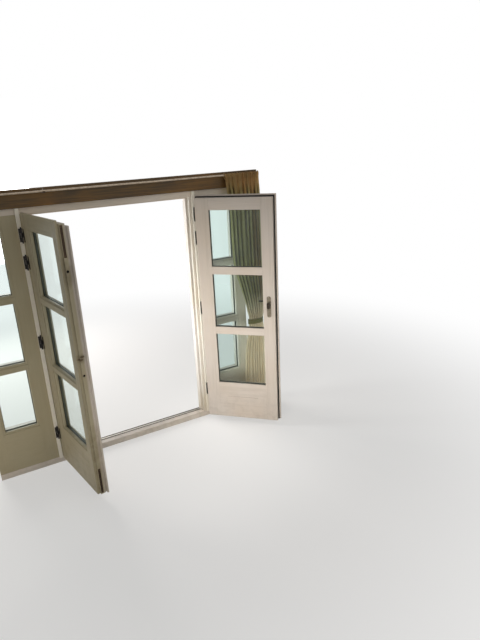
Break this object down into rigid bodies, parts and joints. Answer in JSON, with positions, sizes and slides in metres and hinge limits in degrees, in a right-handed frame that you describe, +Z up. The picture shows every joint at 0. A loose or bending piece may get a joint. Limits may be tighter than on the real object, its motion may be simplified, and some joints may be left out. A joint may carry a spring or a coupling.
{
  "type": "glazed double door set with side windows",
  "caption": "Painted timber double door set: inward-opening glazed leaves, a narrow side window each side, header board, curtain rail and a tied-back curtain.",
  "frame": {"origin": "middle of the sill's underside, half-way through the frame's depth", "axes": "+X along the wall to the active leaf's side, +Y outdoors, +Z up"},
  "size_m": [2.606, 0.8164, 2.216],
  "materials": {
    "painted_timber": "satin white paint over timber, a little worn",
    "stained_timber": "dark brown stain, sawn face",
    "clear_glass": "clear float glass",
    "glass_spacer": "black edge spacer",
    "black_seal": "black weather seal",
    "hinge_metal": "black steel butt hinge",
    "lock_metal": "satin steel plate",
    "dark_handle": "dark bronze",
    "bolt_metal": "aged bronze flush bolt",
    "weather_strip": "mill aluminium",
    "rail_metal": "cream painted pole",
    "curtain_cloth": "slubby olive and straw cloth"
  },
  "bodies": {
    "frame": {"curtain": "curtain_cloth", "curtain_rail": "rail_metal", "curtain_tieback": "curtain_cloth", "door_linings": "painted_timber", "frame_head": "painted_timber", "frame_hinges": "hinge_metal", "header_board": "stained_timber", "left_door_post": "painted_timber", "left_outer_jamb": "painted_timber", "rail_brackets": "rail_metal", "right_door_post": "painted_timber", "right_outer_jamb": "painted_timber", "sill": "painted_timber", "threshold_strip": "weather_strip", "window_bottom_rails": "painted_timber", "window_glass": "clear_glass", "window_glass_spacers": "glass_spacer", "window_glazing_bars": "painted_timber", "window_glazing_beads": "painted_timber", "window_top_rails": "painted_timber"},
    "left_leaf": {"left_leaf_bottom_rail": "painted_timber", "left_leaf_cover_strip": "painted_timber", "left_leaf_flush_bolts": "bolt_metal", "left_leaf_glass": "clear_glass", "left_leaf_glass_spacers": "glass_spacer", "left_leaf_glazing_bars": "painted_timber", "left_leaf_glazing_beads": "painted_timber", "left_leaf_hinge_stile": "painted_timber", "left_leaf_hinges": "hinge_metal", "left_leaf_meeting_stile": "painted_timber", "left_leaf_seal": "black_seal", "left_leaf_top_rail": "painted_timber"},
    "right_leaf": {"right_leaf_bottom_rail": "painted_timber", "right_leaf_glass": "clear_glass", "right_leaf_glass_spacers": "glass_spacer", "right_leaf_glazing_bars": "painted_timber", "right_leaf_glazing_beads": "painted_timber", "right_leaf_hinge_stile": "painted_timber", "right_leaf_hinges": "hinge_metal", "right_leaf_lock_cylinder": "lock_metal", "right_leaf_lock_plates": "lock_metal", "right_leaf_meeting_stile": "painted_timber", "right_leaf_seal": "black_seal", "right_leaf_top_rail": "painted_timber"},
    "handle": {"outside_knob": "dark_handle", "inside_lever": "dark_handle"}
  },
  "joints": [
    {"name": "left_leaf_hinges", "type": "hinge", "parent": "frame", "child": "left_leaf", "pos_m": [-0.68, -0.077, 1.058], "axis": [0, 0, 1], "range_deg": [-74, 81]},
    {"name": "right_leaf_hinges", "type": "hinge", "parent": "frame", "child": "right_leaf", "pos_m": [0.68, -0.077, 1.058], "axis": [0, 0, 1], "range_deg": [-135, 20]},
    {"name": "handle_spindle", "type": "hinge", "parent": "right_leaf", "child": "handle", "pos_m": [1.09543, -0.54475, 1.149], "axis": [-0.7071, -0.7071, 0], "range_deg": [0, 40], "stiffness_Nm_per_rad": 1.5, "springref_deg": -20.05}
  ]
}
